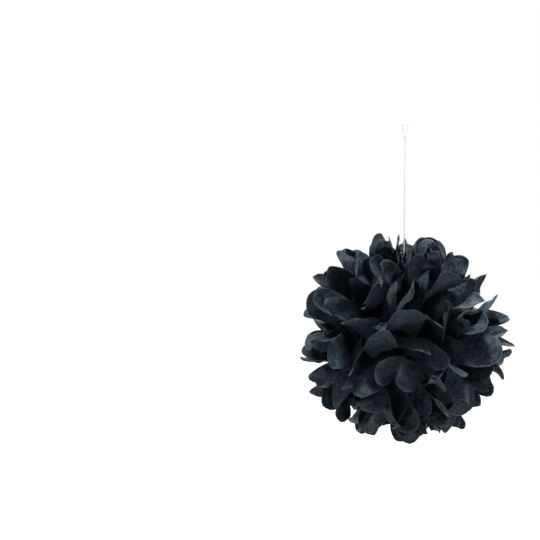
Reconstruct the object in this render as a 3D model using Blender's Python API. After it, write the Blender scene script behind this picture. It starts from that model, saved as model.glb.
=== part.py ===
"""A tissue paper pom pom on its hanging string.

Nine sheets of tissue are pleated together like a fan, tied at the middle with a wire and fluffed out. Each
sheet is one piece: it is gathered to a narrow neck inside the tie, and each of its ends opens into half a ring
of round-ended petals. The rings lie one above another from the top of the ball to the bottom. The fluffing
twists patches of petals round, so that they face many ways. Past the notches between them the petals are free,
and each goes on straight from its panel, but only as far that way as keeps every sheet clear of the next one.

Metres, +Z up. The origin is the top of the hanging loop, and the ball hangs straight below it.
"""

import math
import random

import bmesh
import bpy
from mathutils import Matrix, Vector
from mathutils.bvhtree import BVHTree

# The ball
BALL_RADIUS = 0.201
BALL_DROP = 0.400  # from the origin down to the ball's centre
BALL_HEIGHT_RATIO = 0.93  # the ball is a little lower than it is wide

# The tissue
SHEET_COUNT = 9
SHEET_THICKNESS = 0.0005
PANEL_COUNT = 12  # pleat panels across each end of a sheet, with one petal on each
PANEL_WIDTH = 0.062
PETAL_LENGTH = 0.048  # from the notches to the rim
PETAL_HEIGHT_SPREAD = 0.012
PETAL_BEND = 6.0  # per metre, either way
PETAL_CUP = 0.3  # slope from a petal's middle to its edges, either way
PETAL_STIFFNESS = 0.9  # how nearly all of a free petal goes one way
PETAL_SETTLING = 5  # steps in which a petal that meets another sheet is laid back into its own sheet's layer
PETAL_CLEARANCE = 0.0007
FOOT_STEP = 0.006  # how far inside the notches the way of a petal is taken from
TIP_COLUMNS = 5  # facets round each petal's rim
NOTCH_SPREAD = 0.006  # how far the notches between petals lie in or out
TOP_SLOPE = math.radians(78.0)  # the top sheet's slope above the horizon, and the bottom sheet's below it
SEAM_AZIMUTH = math.radians(-60.0)  # where the two ends of each sheet meet at the front
SEAM_GAP = math.radians(4.0)
SHEET_TURN = math.radians(16.0)  # how far round the tie a sheet's petals may be turned from its neck

# The pleats, as slopes above and below each sheet's own
FIRST_PLEAT = math.radians(8.0)  # near the tie, where the sheets nest
LAYER_MARGIN = math.radians(1.1)  # kept free between a sheet's furthest pleats and the next sheet's
PLEAT_UNEVENNESS = 0.55  # how much wider or narrower than even a pleat may spread
LIFT = math.radians(2.0)
BULGE = math.radians(5.0)
CURL = math.radians(7.0)

# The fluffing: patches of petals turned about the ball's radius through the patch
PATCH_COUNT = 14
PATCH_TURN = math.radians(68.0)
PATCH_REACH = math.radians(42.0)
TOP_TURN = math.radians(40.0)
TOP_REACH = math.radians(70.0)
BOTTOM_TURN = math.radians(80.0)
BOTTOM_REACH = math.radians(52.0)
BOTTOM_TILT = math.radians(16.0)  # from straight down towards the front
CHANNEL = math.radians(5.0)  # kept free round the string
UNEVEN_RADIUS = 0.05
PETAL_SEED = 4
PATCH_SEED = 11

# The necks inside the tie, a bundle that is widest and longest at its middle sheet
NECK_HALF_WIDTH = 0.0045
NECK_HALF_LENGTH = 0.0045
NECK_CLEARANCE = 0.0004
NECK_FADE = 0.140  # the neck's offset is gone this far out

# The tie and the string
WIRE_RADIUS = 0.0005
TIE_CLEARANCE = 0.0003
TWIST_HEIGHT = 0.010
TWIST_TURNS = 2.5
STRING_RADIUS = 0.0010
STRING_LEAD = 0.014  # height over which the string comes in over the twist to the ball's axis
STRING_POINTS = 48
LOOP_HEIGHT = 0.022
LOOP_WIDTH = 0.012
LOOP_KNOT_RADIUS = 0.0023

# Rows of vertices, each in percent from 0 at the tie over 100 at the notches to 200 at the rim, and with its
# columns to a panel
SHEET_ROWS = ((0, 1), (40, 1), (70, 1), (100, TIP_COLUMNS), (150, TIP_COLUMNS), (200, TIP_COLUMNS))

NECK_PITCH = SHEET_THICKNESS + NECK_CLEARANCE
SHEET_SPACING = 2.0 * TOP_SLOPE / (SHEET_COUNT - 1)
HALF_RING = math.pi - SEAM_GAP
BALL_CENTRE = Vector((0.0, 0.0, -BALL_DROP))


def clear_scene():
    """Removes whatever the scene holds."""
    for old in list(bpy.data.objects):
        bpy.data.objects.remove(old)


def paint(name, colour, roughness, metallic=0.0):
    """Makes a plain material."""
    material = bpy.data.materials.new(name)
    material.use_nodes = True
    shader = material.node_tree.nodes["Principled BSDF"]
    shader.inputs["Base Color"].default_value = (*colour, 1.0)
    shader.inputs["Roughness"].default_value = roughness
    shader.inputs["Metallic"].default_value = metallic
    return material


def eased(value):
    """Goes smoothly from 0 to 1."""
    value = min(1.0, max(0.0, value))
    return value * value * (3.0 - 2.0 * value)


def held_within(value, room, free):
    """Leaves a value alone up to the free part of the room, then bends it so that it stays in the room."""
    size = abs(value)
    start = free * room
    if size > start:
        size = start + (room - start) * math.tanh((size - start) / (room - start))
    return math.copysign(size, value)


def either_way(rng, size):
    """A random value no larger than size, either way."""
    return rng.uniform(-size, size)


def plan_half(rng, slope):
    """Chooses how one end of a sheet spreads: its folds, and the petals between them."""
    ring_radius = BALL_RADIUS - PETAL_LENGTH / 2.0
    panel_angle = PANEL_WIDTH / ring_radius
    unevenness = PLEAT_UNEVENNESS * math.sqrt(abs(math.cos(slope)))
    shares = [1.0 + either_way(rng, unevenness) for _ in range(PANEL_COUNT)]
    steps = [HALF_RING * share / sum(shares) for share in shares]
    along = [0.0]
    height = [0.0]
    for index, step in enumerate(steps):
        rise = math.sqrt(max(0.005, panel_angle**2 - (step * math.cos(slope)) ** 2))
        along.append(along[-1] + step)
        height.append(height[-1] + (rise if index % 2 == 0 else -rise))
    folds = []
    for index in range(PANEL_COUNT + 1):
        before = height[max(0, index - 1)]
        after = height[min(PANEL_COUNT, index + 1)]
        if index in (0, PANEL_COUNT):
            middle = (before + after) / 2.0
        else:
            middle = (before + 2.0 * height[index] + after) / 4.0
        offset = 0.9 * (height[index] - middle) + either_way(rng, LIFT)
        folds.append((along[index], offset, either_way(rng, NOTCH_SPREAD)))
    petals = []
    for _ in range(PANEL_COUNT):
        petals.append((either_way(rng, BULGE), either_way(rng, CURL), either_way(rng, PETAL_HEIGHT_SPREAD)))
    return folds, petals


def plan_bends(number, half):
    """Chooses how each free petal of one end of a sheet bends along its length and is cupped across it."""
    rng = random.Random(PETAL_SEED + 100 * number + half)
    return [(either_way(rng, PETAL_BEND), either_way(rng, PETAL_CUP)) for _ in range(PANEL_COUNT)]


def plan_patches():
    """Chooses the turned patches, as an axis, a turn and a reach each, spread evenly over the ball."""
    rng = random.Random(PATCH_SEED)
    patches = [
        (Vector((0.0, 0.0, 1.0)), TOP_TURN, TOP_REACH),
        (Vector((0.0, -math.sin(BOTTOM_TILT), -math.cos(BOTTOM_TILT))), BOTTOM_TURN, BOTTOM_REACH),
    ]
    for index in range(PATCH_COUNT):
        height = 0.9 * (1.0 - 2.0 * (index + 0.5) / PATCH_COUNT)
        azimuth = index * math.pi * (3.0 - math.sqrt(5.0)) + 0.6
        across = math.sqrt(1.0 - height * height)
        axis = Vector((across * math.cos(azimuth), across * math.sin(azimuth), height))
        turn = rng.choice((-1.0, 1.0)) * PATCH_TURN * rng.uniform(0.6, 1.15)
        reach = min(PATCH_REACH * rng.uniform(0.8, 1.15), math.acos(height) - CHANNEL)
        patches.append((axis, turn, reach))
    return patches


def plan_waves():
    """Chooses the long waves that make the ball's outline uneven."""
    rng = random.Random(PATCH_SEED + 1)
    waves = []
    for _ in range(5):
        way = Vector((rng.gauss(0.0, 1.0), rng.gauss(0.0, 1.0), rng.gauss(0.0, 1.0))).normalized()
        waves.append((way * rng.uniform(2.5, 7.0), rng.uniform(0.0, 2.0 * math.pi)))
    return waves


def turned(direction, share, patches):
    """Turns a direction with the patches around it, more the further out it is."""
    for axis, turn, reach in patches:
        away = direction.angle(axis)
        if away < reach:
            angle = turn * (1.0 - eased(away / reach)) * eased((share - 0.15) / 0.85)
            direction = Matrix.Rotation(angle, 3, axis) @ direction
    return direction


def fold_place(sheet, half, index, radius):
    """Where a fold runs at some radius: its azimuth, and its slope from the sheet's own."""
    slope, turn, _, halves = sheet
    fold = halves[half][0][index]
    share = radius / BALL_RADIUS
    spread = eased((share - 0.45) / 0.40)
    even = HALF_RING * index / PANEL_COUNT
    along = SEAM_GAP / 2.0 + even + (fold[0] - even) * spread
    azimuth = SEAM_AZIMUTH + turn * spread + (along if half == 0 else -along)
    chord = math.cos(slope) * HALF_RING / PANEL_COUNT
    width = PANEL_WIDTH / max(radius, 0.4 * BALL_RADIUS)
    nested = min(FIRST_PLEAT, 0.5 * math.sqrt(max(0.0, width**2 - chord**2)))
    nested = nested if index % 2 else -nested
    return azimuth, nested + (fold[1] - nested) * spread


def pleated_point(sheet, half, index, part, radius, patches, waves):
    """A point of a panel, from its place across the panel and its distance from the tie."""
    slope, _, neck, halves = sheet
    bulge, curl = halves[half][1][index][:2]
    share = radius / BALL_RADIUS
    first = fold_place(sheet, half, index, radius)
    second = fold_place(sheet, half, index + 1, radius)
    azimuth = first[0] + (second[0] - first[0]) * part
    offset = first[1] + (second[1] - first[1]) * part
    offset += bulge * math.sin(math.pi * part) * share**2
    offset += curl * max(0.0, (share - 0.7) / 0.3) ** 2
    room = SHEET_SPACING / 2.0 - LAYER_MARGIN + FIRST_PLEAT * (1.0 - eased((share - 0.25) / 0.2))
    offset = held_within(offset, room, 0.7)
    steepest = math.pi / 2.0 - 0.7 * CHANNEL
    rise = held_within(slope + offset, steepest, 0.88)

    direction = Vector((math.cos(rise) * math.cos(azimuth), math.cos(rise) * math.sin(azimuth), math.sin(rise)))
    direction = turned(direction, share, patches)
    swell = sum(math.sin(direction.dot(way) + start) for way, start in waves)
    radius *= 1.0 + UNEVEN_RADIUS * swell / 2.5 * share
    point = Vector((direction.x, direction.y, direction.z * BALL_HEIGHT_RATIO)) * radius

    neck_share = max(0.0, 1.0 - radius / NECK_FADE)
    half_length, half_width, height = neck
    side = half_length if half == 0 else -half_length
    place = Vector((side, half_width * (2.0 * (index + part) / PANEL_COUNT - 1.0), height))
    return point + Matrix.Rotation(SEAM_AZIMUTH + math.pi / 2.0, 3, "Z") @ place * neck_share


def petal_frame(sheet, half, index, patches, waves):
    """Which way a free petal goes on from its panel, and the way that is square to it."""
    folds = sheet[3][half][0]
    foot = BALL_RADIUS - PETAL_LENGTH + (folds[index][2] + folds[index + 1][2]) / 2.0
    middle = pleated_point(sheet, half, index, 0.5, foot, patches, waves)
    inside = pleated_point(sheet, half, index, 0.5, foot - FOOT_STEP, patches, waves)
    left = pleated_point(sheet, half, index, 0.0, foot, patches, waves)
    right = pleated_point(sheet, half, index, 1.0, foot, patches, waves)
    across = (right - left).normalized()
    onward = middle - inside
    onward = (onward - across * onward.dot(across)).normalized()
    return onward, across.cross(onward)


def sheet_point(sheet, half, across, out, patches, waves, frames, bends):
    """A point of a sheet, from the panel it lies on and its row, which is 1 at the notches and 2 at the rim.

    It is given twice: with its petal laid in its own sheet's layer, and with its petal free.
    """
    folds, petals = sheet[3][half]
    index = min(int(across), PANEL_COUNT - 1)
    part = across - index
    notch = BALL_RADIUS - PETAL_LENGTH + folds[index][2] + (folds[index + 1][2] - folds[index][2]) * part
    arch = math.sqrt(max(0.0, 1.0 - (2.0 * part - 1.0) ** 2))
    past = max(0.0, out - 1.0) * 0.97 * (PETAL_LENGTH + petals[index][2]) * arch
    radius = min(out, 1.0) * notch + past
    laid = pleated_point(sheet, half, index, part, radius, patches, waves)
    if past <= 0.0:
        return laid, laid
    foot = pleated_point(sheet, half, index, part, notch, patches, waves)
    inside = pleated_point(sheet, half, index, part, notch - FOOT_STEP, patches, waves)
    onward, square = frames[index]
    way = ((foot - inside).normalized() * (1.0 - PETAL_STIFFNESS) + onward * PETAL_STIFFNESS).normalized()
    bend, cup = bends[index]
    rise = bend * past**2 + cup * past * (0.4 - (2.0 * part - 1.0) ** 4)
    return laid, foot + way * past + square * rise


def join_rows(mesh, inner, outer, inner_step, outer_step):
    """Fills between two rows of vertices, panel by panel, where the outer row may be the finer one."""
    for panel in range(PANEL_COUNT):
        low = inner[panel * inner_step:(panel + 1) * inner_step + 1]
        high = outer[panel * outer_step:(panel + 1) * outer_step + 1]
        if len(low) == len(high):
            for one, two, three, four in zip(low, low[1:], high[1:], high):
                if three is not two:
                    mesh.faces.new((one, two, three))
                if four is not one:
                    mesh.faces.new((one, three, four))
            continue
        half = outer_step // 2
        for step in range(outer_step):
            mesh.faces.new((low[0] if step < half else low[1], high[step + 1], high[step]))
        mesh.faces.new((low[0], low[1], high[half]))


def neck_of(number):
    """A sheet's neck: half its length, half its width, and its height in the bundle."""
    grown = NECK_PITCH * min(number - 1, SHEET_COUNT - number)
    height = NECK_PITCH * ((SHEET_COUNT - 1) / 2.0 - (number - 1))
    return NECK_HALF_LENGTH + grown, NECK_HALF_WIDTH + grown, height


def plan_sheet(number, rng, patches, waves):
    """Works out one sheet: its faces, and where each vertex is with its petal laid in or free."""
    slope = TOP_SLOPE - SHEET_SPACING * (number - 1)
    turn = SHEET_TURN if number % 2 else -SHEET_TURN
    sheet = (slope, turn, neck_of(number), (plan_half(rng, slope), plan_half(rng, slope)))
    surface = bmesh.new()
    laid, free, petal_of = [], [], []
    necks = []
    for half in (0, 1):
        frames = [petal_frame(sheet, half, index, patches, waves) for index in range(PANEL_COUNT)]
        bends = plan_bends(number, half)
        rows = []
        for percent, columns in SHEET_ROWS:
            row = []
            for column in range(PANEL_COUNT * columns + 1):
                across = column / columns
                if percent > 100 and column % columns == 0:
                    row.append(rows[-1][0][column])
                    continue
                place, free_place = sheet_point(
                    sheet, half, across, percent / 100.0, patches, waves, frames, bends
                )
                laid.append(place)
                free.append(free_place)
                petal_of.append(half * PANEL_COUNT + min(int(across), PANEL_COUNT - 1))
                row.append(surface.verts.new(place))
            rows.append((row, columns))
        for (inner, inner_step), (outer, outer_step) in zip(rows, rows[1:]):
            join_rows(surface, inner, outer, inner_step, outer_step)
        necks.append(rows[0][0])
    join_rows(surface, necks[0], necks[1], 1, 1)
    bmesh.ops.recalc_face_normals(surface, faces=surface.faces)
    surface.verts.index_update()
    return surface, laid, free, petal_of


def set_petals(plan, freedom):
    """Moves a sheet's vertices to where each petal's freedom, from 0 to 1, puts them."""
    surface, laid, free, petal_of = plan
    for vertex in surface.verts:
        place = vertex.index
        vertex.co = laid[place].lerp(free[place], freedom[petal_of[place]])
    surface.normal_update()


def shell_tree(plan):
    """A search tree of a sheet's two faces, each moved out by half of the sheet and its clearance.

    With it goes each face's petal, or None for a face that lies inside the notches and can't move.
    """
    surface, laid, free, petal_of = plan
    off = (SHEET_THICKNESS + PETAL_CLEARANCE) / 2.0
    points = [vertex.co + vertex.normal * off * side for side in (1.0, -1.0) for vertex in surface.verts]
    faces, owners = [], []
    for face in surface.faces:
        corners = [vertex.index for vertex in face.verts]
        moving = [petal_of[corner] for corner in corners if laid[corner] != free[corner]]
        faces.append(corners)
        owners.append(moving[0] if moving else None)
    back = [[corner + len(surface.verts) for corner in face] for face in faces]
    return BVHTree.FromPolygons(points, faces + back), owners * 2


def string_tree():
    """A search tree of the space that the string needs above the ball's centre."""
    side = 3.0 * STRING_RADIUS
    ring = [(side, side), (-side, side), (-side, -side), (side, -side)]
    points = [Vector((x, y, z)) for z in (0.02, BALL_DROP) for x, y in ring]
    faces = [(step, (step + 1) % 4, (step + 1) % 4 + 4, step + 4) for step in range(4)]
    return BVHTree.FromPolygons(points, faces)


def settle_petals(plans):
    """Gives every petal as much freedom as keeps its sheet clear of the others and of the string."""
    freedom = [[1.0] * (2 * PANEL_COUNT) for _ in plans]
    string = string_tree()
    while True:
        for plan, own in zip(plans, freedom):
            set_petals(plan, own)
        trees = [shell_tree(plan) for plan in plans]
        held = set()
        for first, (tree, owners) in enumerate(trees):
            held.update((first, owners[face]) for face, _ in tree.overlap(string))
            for second in range(first + 1, len(plans)):
                for one, other in tree.overlap(trees[second][0]):
                    held.add((first, owners[one]))
                    held.add((second, trees[second][1][other]))
        held = {each for each in held if each[1] is not None and freedom[each[0]][each[1]] > 0.0}
        if not held:
            return
        for sheet, petal in held:
            freedom[sheet][petal] = max(0.0, freedom[sheet][petal] - 1.0 / PETAL_SETTLING)


def add_sheet(number, plan, material):
    """Makes one sheet, both of its ends and the neck between them, as a thin solid."""
    surface = plan[0]
    data = bpy.data.meshes.new(f"tissue_sheet_{number}")
    surface.to_mesh(data)
    surface.free()
    data.materials.append(material)
    sheet_object = bpy.data.objects.new(f"tissue_sheet_{number}", data)
    sheet_object.location = BALL_CENTRE
    bpy.context.collection.objects.link(sheet_object)
    thicken = sheet_object.modifiers.new("Thickness", "SOLIDIFY")
    thicken.thickness = SHEET_THICKNESS
    thicken.offset = 0.0
    return sheet_object


def add_tube(name, points, radius, material, closed=False):
    """Makes a round cord or wire along a line of points."""
    curve = bpy.data.curves.new(name, "CURVE")
    curve.dimensions = "3D"
    curve.bevel_depth = radius
    curve.bevel_resolution = 2
    curve.use_fill_caps = True
    spline = curve.splines.new("POLY")
    spline.points.add(len(points) - 1)
    for slot, point in zip(spline.points, points):
        slot.co = (*point, 1.0)
    spline.use_cyclic_u = closed
    spline.use_smooth = True
    curve.materials.append(material)
    tube = bpy.data.objects.new(name, curve)
    bpy.context.collection.objects.link(tube)
    return tube


def bundle_corners():
    """The corners of the outline round the stacked necks, seen along the necks."""
    corners = []
    for number in range(1, SHEET_COUNT + 1):
        _, half_width, height = neck_of(number)
        for side in (-half_width, half_width):
            corners.append((side, height - SHEET_THICKNESS / 2.0))
            corners.append((side, height + SHEET_THICKNESS / 2.0))
    return corners


def twist_foot():
    """The height at which the tie wire's two ends meet and begin to twist."""
    return max(height for _, height in bundle_corners()) + TIE_CLEARANCE + 5.0 * WIRE_RADIUS


def add_tie(material):
    """Bends the tie wire round the necks and twists its two ends together above them."""
    corners = bundle_corners()
    reach = TIE_CLEARANCE + WIRE_RADIUS
    strand = WIRE_RADIUS + TIE_CLEARANCE / 2.0
    twist = []
    for step in range(25):
        share = 1.0 - step / 24.0
        angle = 2.0 * math.pi * TWIST_TURNS * share
        height = twist_foot() + TWIST_HEIGHT * share
        twist.append(Vector((-strand * math.sin(angle), strand * math.cos(angle), height)))
    ring = []
    for step in range(41):
        angle = math.radians(80.0 - 8.5 * step)
        way = (math.cos(angle), math.sin(angle))
        corner = max(corners, key=lambda place: place[0] * way[0] + place[1] * way[1])
        ring.append(Vector((0.0, corner[0] + reach * way[0], corner[1] + reach * way[1])))
    other = [Vector((-point.x, -point.y, point.z)) for point in reversed(twist)]
    strip = Matrix.Rotation(SEAM_AZIMUTH + math.pi / 2.0, 3, "Z")
    tie = add_tube("tie_wire", [strip @ point for point in twist + ring + other], WIRE_RADIUS, material)
    tie.location = BALL_CENTRE


def add_string_parts(material):
    """Makes the cord: its knot round the twisted wire, the long run, and the knot and loop at the top."""
    ring_radius = 2.0 * WIRE_RADIUS + 1.5 * TIE_CLEARANCE + STRING_RADIUS
    knot_height = twist_foot() + STRING_RADIUS
    ring = []
    for step in range(20):
        angle = 2.0 * math.pi * step / 20.0
        ring.append(Vector((ring_radius * math.cos(angle), ring_radius * math.sin(angle), knot_height)))
    knot = add_tube("string_knot", ring, STRING_RADIUS, material, closed=True)
    knot.location = BALL_CENTRE

    start = knot_height + STRING_RADIUS + TIE_CLEARANCE
    loop_bottom = BALL_DROP - LOOP_HEIGHT
    end = loop_bottom - 2.0 * LOOP_KNOT_RADIUS - TIE_CLEARANCE
    points = []
    for step in range(STRING_POINTS):
        share = (step / (STRING_POINTS - 1)) ** 1.4
        height = start + (end - start) * share
        aside = ring_radius * (1.0 - eased((height - twist_foot() - TWIST_HEIGHT) / STRING_LEAD))
        points.append(Vector((aside, 0.0, height)))
    string = add_tube("hanging_string", points, STRING_RADIUS, material)
    string.location = BALL_CENTRE

    bead = bmesh.new()
    bmesh.ops.create_uvsphere(bead, u_segments=16, v_segments=10, radius=LOOP_KNOT_RADIUS)
    data = bpy.data.meshes.new("loop_knot")
    bead.to_mesh(data)
    bead.free()
    data.materials.append(material)
    data.shade_smooth()
    loop_knot = bpy.data.objects.new("loop_knot", data)
    loop_knot.location = BALL_CENTRE + Vector((0.0, 0.0, loop_bottom - LOOP_KNOT_RADIUS))
    bpy.context.collection.objects.link(loop_knot)

    foot = loop_bottom + TIE_CLEARANCE
    legs = 1.2 * STRING_RADIUS
    loop = []
    for step in range(33):
        angle = math.pi * 2.0 * step / 32.0
        bow = (LOOP_WIDTH / 2.0 - STRING_RADIUS) * math.sin(angle / 2.0) ** 2 * math.sin(angle)
        aside = legs * math.cos(angle / 2.0) + bow
        height = foot + (LOOP_HEIGHT - TIE_CLEARANCE - STRING_RADIUS) * math.sin(angle / 2.0)
        loop.append(Vector((aside, 0.0, height)))
    hanging_loop = add_tube("hanging_loop", loop, STRING_RADIUS, material)
    hanging_loop.location = BALL_CENTRE
    return knot, string, loop_knot, hanging_loop


def build():
    """Makes the whole pom pom."""
    clear_scene()
    tissue = paint("black_tissue", (0.017, 0.021, 0.029), 0.7)
    steel = paint("tie_steel", (0.35, 0.35, 0.36), 0.4, 1.0)
    cord = paint("white_cord", (0.55, 0.55, 0.52), 0.6)
    rng = random.Random(PETAL_SEED)
    patches = plan_patches()
    waves = plan_waves()
    plans = [plan_sheet(number, rng, patches, waves) for number in range(1, SHEET_COUNT + 1)]
    settle_petals(plans)
    for number, plan in enumerate(plans, 1):
        add_sheet(number, plan, tissue)
    add_tie(steel)
    add_string_parts(cord)


build()
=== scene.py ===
"""A black tissue paper pom pom on a thin white string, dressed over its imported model.

Nine sheets of tissue are pleated together, tied at the middle with a wire, rounded at the ends and fluffed out.
Each sheet is modelled here as the sheet of paper that it is: its pleats, petals, creases, turned-over tips and
worn folds. The string is a cord of two plies, with a knot and a loop at its upper end.

Metres, +Z up. The origin is the top of the hanging loop, and the ball hangs straight below it.
"""

import logging
import math
import random
from dataclasses import dataclass
from enum import Enum

import bpy
import numpy as np
from mathutils import Matrix, Vector


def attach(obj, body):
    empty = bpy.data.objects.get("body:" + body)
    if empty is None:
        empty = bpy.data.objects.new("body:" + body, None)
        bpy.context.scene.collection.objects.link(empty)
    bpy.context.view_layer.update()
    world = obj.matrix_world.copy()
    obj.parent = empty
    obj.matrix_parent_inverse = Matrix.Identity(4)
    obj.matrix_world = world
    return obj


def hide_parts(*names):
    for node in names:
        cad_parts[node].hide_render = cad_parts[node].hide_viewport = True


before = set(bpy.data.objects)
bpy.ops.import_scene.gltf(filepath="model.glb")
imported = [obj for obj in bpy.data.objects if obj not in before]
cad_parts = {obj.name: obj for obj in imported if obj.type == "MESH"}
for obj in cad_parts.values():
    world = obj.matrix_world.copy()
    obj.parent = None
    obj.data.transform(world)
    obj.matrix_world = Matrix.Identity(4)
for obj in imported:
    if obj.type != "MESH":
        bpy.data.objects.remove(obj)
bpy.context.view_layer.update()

BODY = "root"
GOLDEN_ANGLE = math.pi * (3.0 - math.sqrt(5.0))
ANY_PHASE = 6.3  # a full turn, for a wave's chance start
CREASE_DRAWS = 100  # keeps the creases' draws apart from the sheets' other ones
TWIST_DRAWS = 70  # and those of the petals' twists
LOG = logging.getLogger("pom_pom")


class Slot(Enum):
    """The record's material slots."""

    TISSUE = "tissue"
    STRING = "string"


class End(Enum):
    """The two ends of a sheet, either side of the tie. The value says which way its petals go round."""

    FIRST = 1
    SECOND = -1


class Side(Enum):
    """The face of a petal that its tip is turned over on to."""

    ABOVE = 1
    BELOW = -1


# Small helpers


def linear(colour: str) -> tuple[float, float, float, float]:
    """Turns an sRGB colour into the linear values that a shader takes.

    Args:
        colour: Six hex digits, such as "2A2E35".

    Returns:
        Linear red, green and blue, and a full alpha.
    """
    parts = [int(colour[place:place + 2], 16) / 255.0 for place in (0, 2, 4)]
    red, green, blue = (part / 12.92 if part <= 0.04045 else ((part + 0.055) / 1.055) ** 2.4 for part in parts)
    return red, green, blue, 1.0


def per_metre(millimetres: float) -> float:
    """Gives the texture scale whose pattern repeats about every so many millimetres, on coordinates in metres."""
    return 1000.0 / millimetres


def add_node(
    tree: bpy.types.NodeTree,
    kind: str,
    settings: dict[str, object] | None = None,
    values: dict[str | int, object] | None = None,
    links: dict[str | int, bpy.types.Node | bpy.types.NodeSocket] | None = None,
) -> bpy.types.Node:
    """Adds one node with its settings, its socket values and what feeds it.

    Args:
        tree: The node tree that the node is added to.
        kind: The node's type, without the word ShaderNode that each one starts with.
        settings: Properties of the node itself.
        values: Values of its input sockets, by name or number.
        links: What feeds its input sockets, by name or number: an output socket, or a node for its first one.

    Returns:
        The new node.
    """
    node = tree.nodes.new("ShaderNode" + kind)
    for name, value in (settings or {}).items():
        setattr(node, name, value)
    for name, value in (values or {}).items():
        node.inputs[name].default_value = value
    for name, source in (links or {}).items():
        if isinstance(source, bpy.types.Node):
            source = next(socket for socket in source.outputs if socket.enabled)
        tree.links.new(source, node.inputs[name])
    return node


def empty_material(name: str) -> tuple[bpy.types.Material, bpy.types.NodeTree]:
    """Makes a material whose node tree is still empty.

    Args:
        name: The material's name.

    Returns:
        The material and its node tree.
    """
    material = bpy.data.materials.new(name)
    material.use_nodes = True
    material.node_tree.nodes.clear()
    return material, material.node_tree


def eased(value: np.ndarray) -> np.ndarray:
    """Goes smoothly from 0 to 1."""
    held = np.clip(value, 0.0, 1.0)
    return held * held * (3.0 - 2.0 * held)


def held_within(value: np.ndarray, room: np.ndarray | float, free: float) -> np.ndarray:
    """Leaves values alone up to the free part of the room, then bends them so that they never leave the room.

    Args:
        value: The values, of either sign.
        room: The largest size that a value may come to.
        free: The share of the room in which values stay as they are.

    Returns:
        The held values.
    """
    size = np.abs(value)
    start = free * room
    past = np.maximum(size - start, 0.0)
    return np.copysign(np.where(size > start, start + (room - start) * np.tanh(past / (room - start)), size), value)


def triangle(phase: np.ndarray) -> np.ndarray:
    """A wave of straight lines from -1 to 1, which repeats with each whole number of the phase."""
    return 4.0 * np.abs(phase - np.floor(phase) - 0.5) - 1.0


def unit(ways: np.ndarray) -> np.ndarray:
    """Brings each vector to a length of 1."""
    return ways / np.maximum(np.linalg.norm(ways, axis=-1, keepdims=True), 1e-12)


def grid_mesh(name: str, points: np.ndarray, closed_across: bool = False) -> bpy.types.Mesh:
    """Makes a mesh of four-sided faces from rows of points.

    Args:
        name: The mesh's name.
        points: The points, as rows by columns by three.
        closed_across: True if each row's last point joins its first.

    Returns:
        The mesh.
    """
    rows, columns = points.shape[:2]
    number = np.arange(rows * columns).reshape(rows, columns)
    right = np.roll(number, -1, axis=1) if closed_across else number[:, 1:]
    left = number if closed_across else number[:, :-1]
    faces = np.stack([left[:-1], right[:-1], right[1:], left[1:]], axis=-1).reshape(-1, 4)
    mesh = bpy.data.meshes.new(name)
    mesh.vertices.add(rows * columns)
    mesh.vertices.foreach_set("co", points.reshape(-1))
    mesh.loops.add(faces.size)
    mesh.loops.foreach_set("vertex_index", faces.reshape(-1))
    mesh.polygons.add(len(faces))
    mesh.polygons.foreach_set("loop_start", np.arange(0, faces.size, 4))
    mesh.update(calc_edges=True)
    return mesh


def set_uv(mesh: bpy.types.Mesh, flat: np.ndarray) -> None:
    """Gives a mesh a UV map in metres.

    Args:
        mesh: The mesh.
        flat: Two coordinates for each vertex.
    """
    corners = np.empty(len(mesh.loops), dtype=np.int32)
    mesh.loops.foreach_get("vertex_index", corners)
    mesh.uv_layers.new(name="flat").data.foreach_set("uv", flat[corners].reshape(-1))


def alone(piece: bpy.types.Object) -> None:
    """Selects one object and nothing else.

    Args:
        piece: The object.
    """
    bpy.ops.object.select_all(action="DESELECT")
    piece.select_set(True)
    bpy.context.view_layer.objects.active = piece


def linked(name: str, mesh: bpy.types.Mesh) -> bpy.types.Object:
    """Puts a mesh into the scene as an object at the origin.

    Args:
        name: The object's name.
        mesh: Its mesh.

    Returns:
        The object.
    """
    piece = bpy.data.objects.new(name, mesh)
    bpy.context.scene.collection.objects.link(piece)
    return piece


# Finishes


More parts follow.
